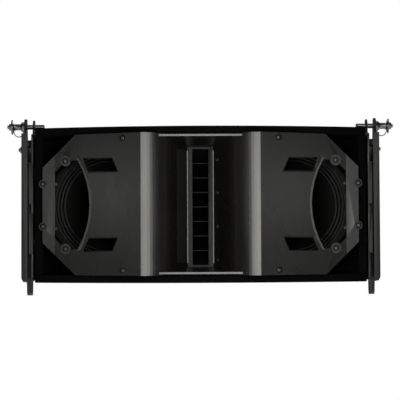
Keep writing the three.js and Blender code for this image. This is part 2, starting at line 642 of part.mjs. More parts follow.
/** Paper cone with a straight rim and neck, its dust cap and the voice coil on its former. */
function wooferCone() {
  const rim = flangeFront + 1.5;
  const neck = rim + CONE_DROP;
  const curve = new THREE.QuadraticBezierCurve(new THREE.Vector2(coneEdge, rim),
    new THREE.Vector2(coneEdge - 22, rim + 8), new THREE.Vector2(COIL_RADIUS + GAP, neck));
  const front = curve.getPoints(4).map((p) => [p.x, p.y]);
  const back = front.map(([r, y]) => [r, y + CONE_WALL * 1.6]).reverse();
  placePair('woofer_cone', revolve([...front, ...back], wooferX, 0, ROUND), 'paper');

  const at = curve.getPoints(20).find((p) => p.x < DUST_CAP_RADIUS);
  const seat = at.y - 2.5;
  const dome = (rise) => [[0, seat - rise], [DUST_CAP_RADIUS * 0.4, seat - rise * 0.86],
    [DUST_CAP_RADIUS * 0.72, seat - rise * 0.5], [DUST_CAP_RADIUS - 1, seat]];
  const cap = revolve([...dome(DUST_CAP_RISE), ...dome(DUST_CAP_RISE - 1).map(([r, y]) => [r, y + 1.2]).reverse()],
    wooferX, 0);
  placePair('woofer_dust_cap', cap, 'paper');

  const end = topPlateFront + STEEL_PLATE + 4;
  const former = revolve([[COIL_RADIUS - 1, neck - 1], [COIL_RADIUS, neck - 1], [COIL_RADIUS, topPlateFront - 2],
    [COIL_RADIUS + 0.8, topPlateFront - 2], [COIL_RADIUS + 0.8, end], [COIL_RADIUS - 1, end]], wooferX, 0);
  placePair('woofer_voice_coil', former, 'copper');
}

/** Corrugated centring ring between the frame and the former. */
function wooferSpider() {
  const inner = COIL_RADIUS + GAP;
  const seat = flangeFront + BASKET_DEPTH - SPIDER_LEDGE - GAP;
  const waves = 4;
  const pitch = (SPIDER_RADIUS - inner) / waves;
  const front = [];
  for (let i = 0; i <= waves; i++) front.push([inner + pitch * i, seat - 2.4 - (i % 2) * 2]);
  const back = front.map(([r, y]) => [r, y + 1.4]).reverse();
  back[0] = [SPIDER_RADIUS, seat];
  placePair('woofer_spider', revolve([...front, ...back], wooferX, 0), 'copper');
}

function wooferMotor() {
  const x = wooferX;
  const poleGap = COIL_RADIUS - 1 - 0.8;
  const plateInner = COIL_RADIUS + 1.6;
  const magnetFront = topPlateFront + STEEL_PLATE + GAP;
  const yokePlate = magnetFront + MAGNET_HEIGHT + GAP;
  const ring = (inner, outer, y0, y1) => revolve([[inner, y0], [outer, y0], [outer, y1], [inner, y1]], x, 0);
  placePair('woofer_top_plate', ring(plateInner, MAGNET_RADIUS - 6, topPlateFront, topPlateFront + STEEL_PLATE),
    'steelBlack');
  placePair('woofer_magnet', ring(COIL_RADIUS + 8, MAGNET_RADIUS, magnetFront, magnetFront + MAGNET_HEIGHT),
    'ferrite');
  const yoke = revolve([[10, topPlateFront], [poleGap, topPlateFront], [poleGap, yokePlate],
    [MAGNET_RADIUS - 6, yokePlate], [MAGNET_RADIUS - 8, yokePlate + STEEL_PLATE], [10, yokePlate + STEEL_PLATE]],
  x, 0);
  placePair('woofer_yoke', yoke, 'steelBlack');
}

// ---- crossover board on the bottom of the cabinet ----

function crossover() {
  const rear = CROSSOVER_REAR;
  const tilt = (y) => -innerTop(y) + 8;
  const [y0, y1] = [rear - CROSSOVER_DEPTH, rear];
  const half = CROSSOVER_WIDTH / 2;
  const slab = (thick, lift) => extrude(outline([[y0, tilt(y0) + lift], [y1, tilt(y1) + lift],
    [y1, tilt(y1) + lift + thick], [y0, tilt(y0) + lift + thick]]), 'x', -half, half);
  const post = (x, y) => extrude(box2(x - 4, y - 4, x + 4, y + 4), 'z', tilt(y) - 7, tilt(y) + 1)
    .subtract(extrude(outline([[0, -innerTop(0) - 60], [420, -innerTop(420) - 60], [420, -innerTop(420) + GAP],
      [0, -innerTop(0) + GAP]]), 'x', -FAR, FAR));
  const posts = [-1, 1].flatMap((side) => [y0 + 8, y1 - 8].map((y) => post(side * (half - 8), y)));
  place('crossover_board', join(slab(1.6, 0), ...posts), 'board');
  const top = (y) => tilt(y) + 1.6 + GAP;
  const coil = (name, x, y, radius) => {
    const z = top(y) + radius * slope;
    const ring = solid(new THREE.LatheGeometry([[radius * 0.45, 0], [radius, 0], [radius, 16],
      [radius * 0.45, 16], [radius * 0.45, 0]].map(([r, h]) => new THREE.Vector2(r, h)), 24)
      .rotateX(Math.PI / 2).translate(x, y, z));
    place(name, ring, 'copper');
  };
  coil('crossover_coil_large', -38, y0 + 34, 24);
  coil('crossover_coil_small', 36, y0 + 30, 17);
}

// ---- rigging: side plates, sliding front links, swinging rear arms and quick-release pins ----

const plateInner0 = halfWidth + PLATE_INSET;
const plateInner1 = plateInner0 + INNER_PLATE;
const linkInner = plateInner1 + LINK_PLAY;
const linkOuter = linkInner + LINK_THICK;
const plateOuter0 = linkOuter + LINK_PLAY;
const plateOuter1 = plateOuter0 + OUTER_PLATE;
const pinZ = (y) => outerTop(y) + PIN_ABOVE_TOP;

/** Side plate with a rounded ear around each pin. */
function sidePlate(x0, x1, ear) {
  const top = (y) => outerTop(y) - PLATE_DROP;
  const bottom = (y) => -outerTop(y) + PLATE_RISE;
  const profile = outline([
    [PLATE_FRONT, bottom(PLATE_FRONT), 8], [PLATE_REAR, bottom(PLATE_REAR), 14],
    [PLATE_REAR, top(PLATE_REAR), 8], [PLATE_FRONT, top(PLATE_FRONT), 8],
  ]);
  let plate = extrude(profile, 'x', x0, x1);
  for (const y of [LINK_Y, REAR_PIN_Y]) {
    const neck = ear - 1;
    plate = join(plate, rodX(y, pinZ(y), ear, x0, x1, 16),
      extrude(outline([[y - neck - 10, top(y) - 4], [y + neck + 10, top(y) - 6], [y + neck, pinZ(y) + 1],
        [y - neck, pinZ(y) + 1]]), 'x', x0, x1));
    plate = cut(plate, rodX(y, pinZ(y), PIN_RADIUS + PIN_FIT, x0 - 1, x1 + 1));
  }
  return plate;
}

function outerPlate() {
  let plate = sidePlate(plateOuter0, plateOuter1, EAR_OUTER);
  for (let i = 0; i < ANGLE_HOLES; i++) {
    const angle = THREE.MathUtils.degToRad(150 + 15 * i);
    plate = cut(plate, rodX(REAR_PIN_Y + ANGLE_ARC * Math.cos(angle),
      pinZ(REAR_PIN_Y) - ANGLE_ARC * Math.sin(angle) - 6,
      PIN_RADIUS, plateOuter0 - 1, plateOuter1 + 1, 8));
  }
  const flangeEdge = plateOuter1 + FLANGE_LIP;
  const flangeTop = outerTop(PLATE_FRONT) - PLATE_DROP - 0.5;
  const flange = extrude(outline([[flangeEdge - FLANGE_WIDTH, -halfHeight + 1],
    [flangeEdge, -halfHeight + 1, 10], [flangeEdge, flangeTop], [flangeEdge - FLANGE_WIDTH, flangeTop]]), 'y',
  PLATE_FRONT - OUTER_PLATE, PLATE_FRONT + 1);
  const guide = rodX(LINK_Y, GUIDE_Z, GUIDE_RADIUS, plateInner1 + GAP, plateOuter0 + 1);
  const spacer = rodX(PLATE_FRONT + 22, SPACER_Z, 8, plateInner1 + GAP, plateOuter0 + 1);
  const pivot = rodX(ARM_PIVOT_Y, ARM_PIVOT_Z, GUIDE_RADIUS, plateInner1 + GAP, plateOuter0 + 1);
  placePair('rigging_outer_plate', join(plate, flange, guide, spacer, pivot), 'steelBlack');
}

function innerPlate() {
  const plate = sidePlate(plateInner0, plateInner1, EAR_INNER);
  const tab = (z0, z1) => extrude(box2(plateInner0, z0, plateInner0 + TAB_OUT, z1), 'y',
    PLATE_FRONT - TAB_THICK, PLATE_FRONT + 1);
  const pads = [PLATE_FRONT + 40, 200, PLATE_REAR - 50].flatMap((y) => [-70, 70].map((z) =>
    rodX(y, z, PAD_RADIUS, halfWidth + GAP, plateInner0 + 1, 12)));
  placePair('rigging_inner_plate', join(plate, tab(2, 82), tab(-96, -17), ...pads), 'steelBlack');
}

function frontLink() {
  const half = LINK_WIDTH / 2;
  const tip = halfHeight + LINK_REACH;
  const bar = extrude(outline([[LINK_Y - half, -tip + 34], [LINK_Y - 15, -tip, 13], [LINK_Y + 15, -tip, 13],
    [LINK_Y + half, -tip + 34], [LINK_Y + half, LINK_TOP, 10], [LINK_Y - half, LINK_TOP, 10]]), 'x',
  linkInner, linkOuter, 3);
  const play = GUIDE_RADIUS + PIN_FIT + 0.2;
  const slot = extrude(outline([[LINK_Y - play, GUIDE_Z - LINK_TRAVEL - play], [LINK_Y + play, GUIDE_Z - LINK_TRAVEL
    - play], [LINK_Y + play, GUIDE_Z + play], [LINK_Y - play, GUIDE_Z + play]], play - 0.1), 'x',
  linkInner - 1, linkOuter + 1, 3);
  const hole = rodX(LINK_Y, -tip + 12, PIN_RADIUS + PIN_FIT, linkInner - 1, linkOuter + 1);
  placePair('front_link_bar', cut(bar, slot, hole), 'steelBlack');
}

function rearArm() {
  const half = ARM_WIDTH / 2;
  const tip = ARM_PIVOT_Z + ARM_LENGTH;
  const arm = join(rodX(ARM_PIVOT_Y, ARM_PIVOT_Z, half, linkInner, linkOuter, 24),
    rodX(ARM_PIVOT_Y, tip, half - 2, linkInner, linkOuter, 24),
    extrude(outline([[ARM_PIVOT_Y - half, ARM_PIVOT_Z], [ARM_PIVOT_Y + half, ARM_PIVOT_Z],
      [ARM_PIVOT_Y + half - 2, tip], [ARM_PIVOT_Y - half + 2, tip]]), 'x', linkInner, linkOuter));
  const bore = (z, radius) => rodX(ARM_PIVOT_Y, z, radius, linkInner - 1, linkOuter + 1);
  placePair('rear_splay_arm', cut(arm, bore(ARM_PIVOT_Z, GUIDE_RADIUS + PIN_FIT), bore(tip, PIN_RADIUS + PIN_FIT)),
    'steelBlack');
}

const pinHead = plateOuter1 + GAP;

/** Ball-lock pin with a waisted head, a bored end for its button and a ring for its lanyard. */
function quickPin(name, y) {
  const z = pinZ(y);
  const tip = halfWidth - PIN_INSIDE;
  const end = pinHead + HEAD_LENGTH;
  const body = revolveX([[0, tip], [PIN_RADIUS - 1.5, tip], [PIN_RADIUS, tip + 2], [PIN_RADIUS, pinHead],
    [HEAD_RADIUS, pinHead], [HEAD_RADIUS, pinHead + 4], [6.5, pinHead + 8], [6.5, end - 10],
    [DISC_RADIUS, end - 8], [DISC_RADIUS, end - 5], [7, end - 4], [7, end], [0, end]], y, z, 12);
  const bore = rodX(y, z, BUTTON_RADIUS + GAP, end - 10, end + 1);
  const ring = solid(new THREE.TorusGeometry(9, 1.1, 5, 14).translate(pinHead + 11.5, z - 11, 0)
    .applyMatrix4(new THREE.Matrix4().makeBasis(new THREE.Vector3(1, 0, 0),
      new THREE.Vector3(0, 0, 1), new THREE.Vector3(0, -1, 0))).translate(0, y, 0));
  placePair(name, cut(join(body, ring), bore), 'steelBright');
  const button = revolveX([[0, end - 10 + BUTTON_TRAVEL + 0.5], [BUTTON_RADIUS, end - 10 + BUTTON_TRAVEL + 0.5],
    [BUTTON_RADIUS, end + BUTTON_TRAVEL - 0.5], [BUTTON_RADIUS - 1, end + BUTTON_TRAVEL + 0.5],
    [0, end + BUTTON_TRAVEL + 0.5]], y, z, 10);
  placePair(`${name}_button`, button, 'steelBright');
}

cabinetBoards();
rearPanel();
connectorPlate();
rearHandle();
baffle();
frontMoulding();
waveguide();
hfDriver();
coverStrip();
wooferBasket();
wooferSurround();
wooferCone();
wooferSpider();
wooferMotor();
crossover();
outerPlate();
innerPlate();
frontLink();
rearArm();
quickPin('front_pin', LINK_Y);
quickPin('rear_pin', REAR_PIN_Y);

// The origin is the centre of the whole box.
const bounds = new THREE.Box3().setFromObject(model);
const centre = bounds.getCenter(new THREE.Vector3());
model.position.set(0, -centre.y, -centre.z);

export default model;
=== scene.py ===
"""Looks of a passive line array loudspeaker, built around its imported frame. Metres, +Z up, front at -Y."""

import json
import math

import bmesh
import bpy
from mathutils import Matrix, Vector
from mathutils.bvhtree import BVHTree


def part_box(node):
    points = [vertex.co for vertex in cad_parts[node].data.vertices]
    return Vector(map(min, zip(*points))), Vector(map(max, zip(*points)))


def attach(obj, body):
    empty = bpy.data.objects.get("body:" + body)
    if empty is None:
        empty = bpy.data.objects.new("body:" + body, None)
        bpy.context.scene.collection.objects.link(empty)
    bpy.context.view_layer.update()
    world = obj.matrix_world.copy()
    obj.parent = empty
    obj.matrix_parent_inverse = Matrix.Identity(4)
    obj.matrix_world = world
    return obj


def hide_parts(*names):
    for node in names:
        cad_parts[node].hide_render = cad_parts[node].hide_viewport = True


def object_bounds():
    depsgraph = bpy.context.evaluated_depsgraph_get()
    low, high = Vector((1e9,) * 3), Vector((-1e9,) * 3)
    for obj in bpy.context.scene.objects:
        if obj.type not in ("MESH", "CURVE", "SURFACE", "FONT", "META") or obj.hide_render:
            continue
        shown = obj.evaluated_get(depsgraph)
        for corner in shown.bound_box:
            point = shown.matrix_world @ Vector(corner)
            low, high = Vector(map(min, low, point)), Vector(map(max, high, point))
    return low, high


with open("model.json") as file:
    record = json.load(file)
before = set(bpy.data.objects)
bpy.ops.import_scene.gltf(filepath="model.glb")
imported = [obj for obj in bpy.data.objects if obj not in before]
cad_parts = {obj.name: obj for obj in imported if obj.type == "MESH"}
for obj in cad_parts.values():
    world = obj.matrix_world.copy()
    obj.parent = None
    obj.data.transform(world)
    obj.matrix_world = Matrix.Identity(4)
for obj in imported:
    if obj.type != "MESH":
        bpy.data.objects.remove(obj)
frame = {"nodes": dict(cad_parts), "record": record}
cad_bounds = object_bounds()
SIDES = {"left": -1, "right": 1}


# ---- shader maths: a socket that can be added, subtracted and scaled ----


class Value:
    """A float socket of one material, with arithmetic that adds Math nodes."""

    def __init__(self, maker, socket):
        self.maker = maker
        self.socket = socket

    def _math(self, operation, *operands):
        return self.maker.node("ShaderNodeMath", {"operation": operation}, *operands)

    def __add__(self, other):
        return self._math("ADD", self, other)

    def __sub__(self, other):
        return self._math("SUBTRACT", self, other)

    def __mul__(self, other):
        return self._math("MULTIPLY", self, other)

    def __rsub__(self, other):
        return self._math("SUBTRACT", other, self)

    __radd__ = __add__
    __rmul__ = __mul__

    def clamped(self):
        return self.maker.node("ShaderNodeClamp", {}, self, 0.0, 1.0)


class Finish:
    """Builds one procedural material from Object coordinates."""

    def __init__(self, name, color, roughness, metallic=0.0, specular=0.5):
        self.material = bpy.data.materials.new(name)
        self.material.use_nodes = True
        self.tree = self.material.node_tree
        self.shader = self.tree.nodes["Principled BSDF"]
        self.shader.inputs["Base Color"].default_value = (*color, 1)
        self.shader.inputs["Roughness"].default_value = roughness
        self.shader.inputs["Metallic"].default_value = metallic
        self.shader.inputs["Specular IOR Level"].default_value = specular
        self.place = self.node("ShaderNodeTexCoord", {}, output="Object")

    def node(self, kind, settings, *values, output=0):
        made = self.tree.nodes.new(kind)
        for key, setting in settings.items():
            setattr(made, key, setting)
        sockets = [s for s in made.inputs if s.enabled]
        for socket, value in zip(sockets, values):
            if isinstance(value, Value):
                self.tree.links.new(value.socket, socket)
            elif value is not None:
                socket.default_value = value
        return Value(self, made.outputs[output])

    def noise(self, scale, detail=3.0, roughness=0.55, stretch=(1, 1, 1)):
        place = self.node("ShaderNodeMapping", {}, self.place, (0, 0, 0), (0, 0, 0), stretch)
        return self.node("ShaderNodeTexNoise", {}, place, scale, detail, roughness)

    def grains(self, scale):
        return self.node("ShaderNodeTexVoronoi", {"feature": "F1"}, self.place, scale)

    def blend(self, share, first, second):
        mixed = self.tree.nodes.new("ShaderNodeMix")
        mixed.data_type = "RGBA"
        mixed.inputs[6].default_value = (*first, 1)
        mixed.inputs[7].default_value = (*second, 1)
        self.tree.links.new(share.socket, mixed.inputs[0])
        return Value(self, mixed.outputs[2])

    def feed(self, name, value):
        self.tree.links.new(value.socket, self.shader.inputs[name])

    def relief(self, height, depth):
        bump = self.tree.nodes.new("ShaderNodeBump")
        bump.inputs["Strength"].default_value = 1.0
        bump.inputs["Distance"].default_value = depth
        self.tree.links.new(height.socket, bump.inputs["Height"])
        self.tree.links.new(bump.outputs["Normal"], self.shader.inputs["Normal"])


# ---- finishes ----


def textured_paint():
    """Black polyurea paint on plywood: a coarse pebbled skin with slightly paler rubbed spots."""
    paint = Finish("textured_paint", (0.002, 0.002, 0.002), 0.85, specular=0.04)
    pebble = paint.grains(620)
    rub = paint.noise(14, 5)
    worn = (rub - 0.45) * 2.4
    paint.feed("Base Color", paint.blend(worn, (0.0012, 0.0012, 0.0013), (0.0032, 0.0032, 0.0032)))
    paint.feed("Roughness", (rub * 0.16 + 0.78).clamped())
    paint.relief(pebble * -1.0 + paint.noise(900, 2) * 0.5, 0.00035)
    return paint.material


def satin_moulding():
    """Satin black moulded plastic with a fine leather-like grain."""
    plastic = Finish("satin_moulding", (0.012, 0.012, 0.0125), 0.36)
    cloud = plastic.noise(7, 4)
    streak = plastic.noise(26, 3, stretch=(1, 1, 0.12))
    plastic.feed("Base Color", plastic.blend(cloud, (0.0034, 0.0033, 0.0028), (0.0085, 0.0081, 0.0066)))
    plastic.feed("Roughness", (cloud * 0.1 + streak * 0.12 + 0.17).clamped())
    plastic.relief(plastic.noise(1500, 2) + plastic.grains(1100) * 0.5, 0.00006)
    return plastic.material


def black_cap():
    """Darker smooth plastic of the sockets and waveguide."""
    plastic = Finish("smooth_black_plastic", (0.002, 0.002, 0.002), 0.42, specular=0.12)
    cloud = plastic.noise(30, 3)
    plastic.feed("Roughness", (cloud * 0.16 + 0.34).clamped())
    plastic.relief(plastic.noise(1900, 1), 0.00003)
    return plastic.material


def dark_coat():
    """Matt black electrocoat of the woofers' frames, deep inside the openings."""
    coat = Finish("dark_coat", (0.0015, 0.0015, 0.0015), 0.6, specular=0.1)
    coat.feed("Roughness", (coat.noise(60, 3) * 0.2 + 0.5).clamped())
    return coat.material


def black_gauze():
    """Woven dust gauze over the driver's throat."""
    gauze = Finish("black_gauze", (0.0006, 0.0006, 0.0006), 0.95, specular=0.02)
    gauze.relief(gauze.noise(2200, 1), 0.0001)
    return gauze.material


def powder_coat():
    """Black powder coat on steel, with orange peel."""
    coat = Finish("powder_coat", (0.03, 0.03, 0.029), 0.4, metallic=0.0)
    cloud = coat.noise(18, 4)
    coat.feed("Base Color", coat.blend(cloud, (0.008, 0.008, 0.0078), (0.016, 0.016, 0.0155)))
    coat.feed("Roughness", (cloud * 0.14 + 0.34).clamped())
    coat.relief(coat.noise(520, 2), 0.00008)
    return coat.material


def bright_steel():
    """Turned stainless steel with fine rings round the pin."""
    steel = Finish("bright_steel", (0.42, 0.42, 0.41), 0.24, metallic=1.0)
    turned = steel.noise(900, 2, stretch=(1, 0.02, 0.02))
    smudge = steel.noise(60, 3)
    steel.feed("Base Color", steel.blend(smudge, (0.12, 0.12, 0.118), (0.36, 0.36, 0.35)))
    steel.feed("Roughness", (turned * 0.14 + smudge * 0.1 + 0.12).clamped())
    steel.relief(turned, 0.00004)
    return steel.material


def blackened_screw():
    """Black zinc on the screw heads, worn a little on top."""
    zinc = Finish("blackened_screw", (0.07, 0.07, 0.07), 0.3, metallic=0.8)
    wear = zinc.noise(240, 3)
    zinc.feed("Base Color", zinc.blend((wear - 0.4) * 2.0, (0.05, 0.05, 0.05), (0.2, 0.2, 0.195)))
    zinc.feed("Roughness", (wear * 0.2 + 0.22).clamped())
    return zinc.material


def sintered_ferrite():
    ferrite = Finish("sintered_ferrite", (0.03, 0.03, 0.031), 0.7)
    grain = ferrite.noise(90, 4)
    ferrite.feed("Base Color", ferrite.blend(grain, (0.02, 0.02, 0.021), (0.045, 0.045, 0.046)))
    ferrite.relief(ferrite.noise(1300, 3), 0.0001)
    return ferrite.material


def doped_cloth():
    """Woven cloth of the surround, sealed with a soft gloss dope."""
    cloth = Finish("doped_cloth", (0.0025, 0.0025, 0.0025), 0.48, specular=0.22)
    along = cloth.node("ShaderNodeTexWave", {"bands_direction": "X"}, cloth.place, 900)
    across = cloth.node("ShaderNodeTexWave", {"bands_direction": "Z"}, cloth.place, 900)
    cloth.feed("Roughness", (cloth.noise(40, 3) * 0.2 + 0.36).clamped())
    cloth.relief(along * 0.5 + across * 0.5, 0.00012)
    return cloth.material


def paper_pulp():
    """Pressed black paper pulp with loose fibres."""
    paper = Finish("paper_pulp", (0.003, 0.003, 0.003), 0.8, specular=0.08)
    fibre = paper.noise(420, 5, 0.7)
    pale = (fibre - 0.3) * 1.8
    paper.feed("Base Color", paper.blend(pale, (0.0015, 0.0015, 0.0015), (0.004, 0.004, 0.0038)))
    paper.relief(fibre, 0.00025)
    return paper.material


def copper_winding():
    copper = Finish("copper_winding", (0.55, 0.25, 0.12), 0.35, metallic=1.0)
    turns = copper.node("ShaderNodeTexWave", {"bands_direction": "Y"}, copper.place, 800)
    copper.feed("Base Color", copper.blend(copper.noise(50, 3), (0.45, 0.19, 0.09), (0.62, 0.3, 0.15)))
    copper.relief(turns, 0.0002)
    return copper.material


def circuit_board():
    board = Finish("circuit_board", (0.02, 0.1, 0.05), 0.4)
    tracks = board.node("ShaderNodeTexBrick", {}, board.place, None, None, None, 160.0)
    board.feed("Base Color", board.blend(board.noise(70, 2), (0.012, 0.075, 0.035), (0.03, 0.14, 0.06)))
    board.relief(tracks, 0.00005)
    return board.material


FINISHES = {
    "cabinet_paint": textured_paint(),
    "moulded_plastic": satin_moulding(),
    "black_steel": powder_coat(),
    "bright_steel": bright_steel(),
    "ferrite": sintered_ferrite(),
    "surround_cloth": doped_cloth(),
    "cone_paper": paper_pulp(),
    "copper": copper_winding(),
    "circuit_board": circuit_board(),
}
SCREW_FINISH = blackened_screw()
DARK_PLASTIC = black_cap()
OTHER_FINISH = {
    "hf_waveguide": DARK_PLASTIC, "speaker_socket": DARK_PLASTIC, "hf_driver_cap": black_gauze(),
    "woofer_basket": dark_coat(), "throat_cover_strip": FINISHES["black_steel"],
}
SLOT_OF = {part["node"]: part["material_slot"] for part in frame["record"]["subparts"]}
BODY_OF = {node: body for body, nodes in frame["record"]["behaviour"]["bodies"].items() for node in nodes}


# ---- pieces made from the frame's own solids, with softened edges ----


def new_piece(name, mesh, material, body):
    piece = bpy.data.objects.new(name, mesh)
    bpy.context.scene.collection.objects.link(piece)
    mesh.materials.clear()
    mesh.materials.append(material)
    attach(piece, body)
    return piece


# Flat faces with holes stay in triangles, because one face can't hold a hole.
PIERCED = ("front_moulding", "baffle_board", "cabinet_rear", "connector_plate", "rigging", "hf_waveguide",
           "front_link", "rear_splay", "rear_handle", "woofer_basket", "speaker_socket")
FLAT_WITHIN = math.radians(0.6)
SAME_CORNER = 2e-6
EDGE_SEGMENTS = 2
SMOOTH_WITHIN = 34            # degrees between facets that belong to one curve
MOULDING_SMOOTH = 11          # less on the moulding, whose long flat faces meet at small angles

# Widths of the rounded edges, by how a node's name starts.
EDGE = {
    "cabinet": 0.0016, "baffle": 0.0008, "front_m": 0.0009, "rigging": 0.0006, "front_l": 0.0008,
    "rear_sp": 0.0008, "connect": 0.0005, "rear_ha": 0.0012, "speaker": 0.0006, "hf_": 0.0006,
    "woofer_b": 0.0005, "front_p": 0.0005, "rear_pi": 0.0005, "throat": 0.0004,
}
OTHER_EDGE = 0.0003
OWN_SHAPE = ("woofer_surround", "woofer_cone", "woofer_dust_cap")


def softened(node, width, material, smooth_angle):
    """The node's own shape with merged facets, smooth curves and rounded edges."""
    shape = bmesh.new()
    shape.from_mesh(frame["nodes"][node].data)
    bmesh.ops.remove_doubles(shape, verts=shape.verts, dist=SAME_CORNER)
    if not node.startswith(PIERCED):
        bmesh.ops.dissolve_limit(shape, angle_limit=FLAT_WITHIN, verts=shape.verts, edges=shape.edges)
    mesh = bpy.data.meshes.new(node + "_skin")
    shape.to_mesh(mesh)
    shape.free()
    mesh.shade_smooth()
    mesh.set_sharp_from_angle(angle=math.radians(smooth_angle))
    slot = SLOT_OF[node]
    piece = new_piece(node + "_skin", mesh, material or FINISHES[slot], BODY_OF[node])
    bevel = piece.modifiers.new("edges", "BEVEL")
    bevel.width = width
    bevel.segments = EDGE_SEGMENTS
    bevel.limit_method = "ANGLE"
    bevel.angle_limit = math.radians(smooth_angle)
    bevel.harden_normals = True
    bevel.use_clamp_overlap = True
    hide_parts(node)


def edge_width(node):
    return next((width for start, width in EDGE.items() if node.startswith(start)), OTHER_EDGE)


def soften_all():
    for node in frame["nodes"]:
        if node.startswith(OWN_SHAPE):
            continue
        finish = next((made for start, made in OTHER_FINISH.items() if node.startswith(start)), None)
        angle = MOULDING_SMOOTH if node == "front_moulding" else SMOOTH_WITHIN
        softened(node, edge_width(node), finish, angle)


# ---- woofers: rolled surround, cone and dust cap as fine revolved shapes ----

MERGE_WITHIN = 1e-7
REVOLVED_SMOOTH = math.radians(40)
FINE_STEPS = 128              # round the surround and the cone
CAP_STEPS = 96


def revolved(name, profile, centre, steps, closed):
    """Turn (radius, depth) points about an axis along Y through centre."""
    shape = bmesh.new()
    rings = []
    for i in range(steps):
        angle = 2 * math.pi * i / steps
        c, s = math.cos(angle), math.sin(angle)
        rings.append([shape.verts.new((centre.x + r * c, y, centre.z + r * s)) for r, y in profile])
    count = len(profile)
    spans = count if closed else count - 1
    for i in range(steps):
        here, there = rings[i], rings[(i + 1) % steps]
        for j in range(spans):
            k = (j + 1) % count
            shape.faces.new((here[j], here[k], there[k], there[j]))
    bmesh.ops.remove_doubles(shape, verts=shape.verts, dist=MERGE_WITHIN)
    bmesh.ops.recalc_face_normals(shape, faces=shape.faces)
    mesh = bpy.data.meshes.new(name)
    shape.to_mesh(mesh)
    shape.free()
    mesh.shade_smooth()
    mesh.set_sharp_from_angle(angle=REVOLVED_SMOOTH)
    return mesh


def ring_of(node):
    """Centre and outer radius of a round node, with its front and back depths."""
    low, high = (Vector(corner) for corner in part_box(node))
    centre = (low + high) / 2
    return centre, (high.z - low.z) / 2, low.y, high.y


def woofer_piece(node, suffix, profile, centre, steps, closed, slot, body):
    """A revolved piece that takes the place of one woofer node."""
    name = node + suffix
    piece = new_piece(name, revolved(name, profile, centre, steps, closed), FINISHES[slot], body)
    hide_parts(node)


ROLLS = 3
ROLL_STEPS = 12
ROLL_HEIGHT = 0.0034
ROLL_FOOT = 0.0018            # thickness of the cloth between two rolls
CLOTH_SEAT = 0.0015           # the glued flange's thickness
CLOTH_GAP = 0.0003            # between the cloth and the cone's rim
SURROUND_EDGE = 0.0045


def rolled_surround(side):
    """Three half-round rolls between the cone's gap and the glued flange."""
    node = f"woofer_surround_{side}"
    centre, outer, _, back = ring_of(node)
    inner = ring_of(f"woofer_cone_{side}")[1] + CLOTH_GAP
    seat = back - CLOTH_SEAT
    rolls_end = outer - SURROUND_EDGE
    pitch = (rolls_end - inner) / ROLLS
    face = []
    for i in range(ROLLS * ROLL_STEPS + 1):
        turn = math.pi * i / ROLL_STEPS
        along = (i // ROLL_STEPS) + (1 - math.cos(turn % math.pi)) / 2
        face.append((inner + pitch * along, seat - ROLL_FOOT - ROLL_HEIGHT * abs(math.sin(turn))))
    rim = [(outer - 0.001, seat - 0.002), (outer, seat - 0.0012), (outer, seat)]
    profile = face + rim + [(rolls_end, seat), (rolls_end, back), (inner, back)]
    woofer_piece(node, "_rolls", profile, centre, FINE_STEPS, True, "surround_cloth", "root")


NECK_RADIUS = 0.0323
NECK_INSET = 0.00192          # from the cone's back to its neck
CONE_WALL = 0.0018
CONE_STEPS = 24
CONE_BOW = (0.022, 0.008)     # the flare's control point: in from the rim and back from the front
RIB_HEIGHT = 0.00035
RIB_HALF_WAVES = 14
RIBBED = (0.1, 0.8)           # share of the flare that carries ribs


def pulp_cone(side):
    """A flared paper cone with shallow ribs."""
    node = f"woofer_cone_{side}"
    centre, outer, front, back = ring_of(node)
    neck = back - NECK_INSET
    control = (outer - CONE_BOW[0], front + CONE_BOW[1])
    face = []
    for i in range(CONE_STEPS + 1):
        t = i / CONE_STEPS
        a, b, c = (1 - t) ** 2, 2 * t * (1 - t), t ** 2
        rib = RIB_HEIGHT * math.sin(t * math.pi * RIB_HALF_WAVES) if RIBBED[0] < t < RIBBED[1] else 0
        radius = a * outer + b * control[0] + c * NECK_RADIUS
        face.append((radius, a * front + b * control[1] + c * neck + rib))
    profile = face + [(r, y + CONE_WALL) for r, y in reversed(face)]
    woofer_piece(node, "_pulp", profile, centre, FINE_STEPS, True, "cone_paper", f"cone_{side}")


DUST_CAP_RISE = 0.011
DOME_STEPS = 16


def domed_cap(side):
    """A thin dome over the voice coil."""
    node = f"woofer_dust_cap_{side}"
    centre, outer, front, back = ring_of(node)
    rim = outer - 0.0002
    face = []
    for i in range(DOME_STEPS + 1):
        t = i / DOME_STEPS
        fall = 1 - math.sqrt(max(0.0, 1 - (t * 0.985) ** 2))
        face.append((rim * t, front + DUST_CAP_RISE * fall * 0.95))
    profile = face + [(r * 0.99, min(y + 0.001, back)) for r, y in reversed(face)]
    woofer_piece(node, "_dome", profile, centre, CAP_STEPS, False, "cone_paper", f"cone_{side}")


# ---- screws, set by one geometry tree at named places ----

HEAD_SIDES = 20
SOCKET_SIDES = 6
CROWN_SHARE = 0.62            # the flat top's share of the head's radius
SOCKET_SHARE = 0.4            # the socket's share of the head's radius
SOCKET_LIFT = 1.4             # heights of the socket's middle over the head's


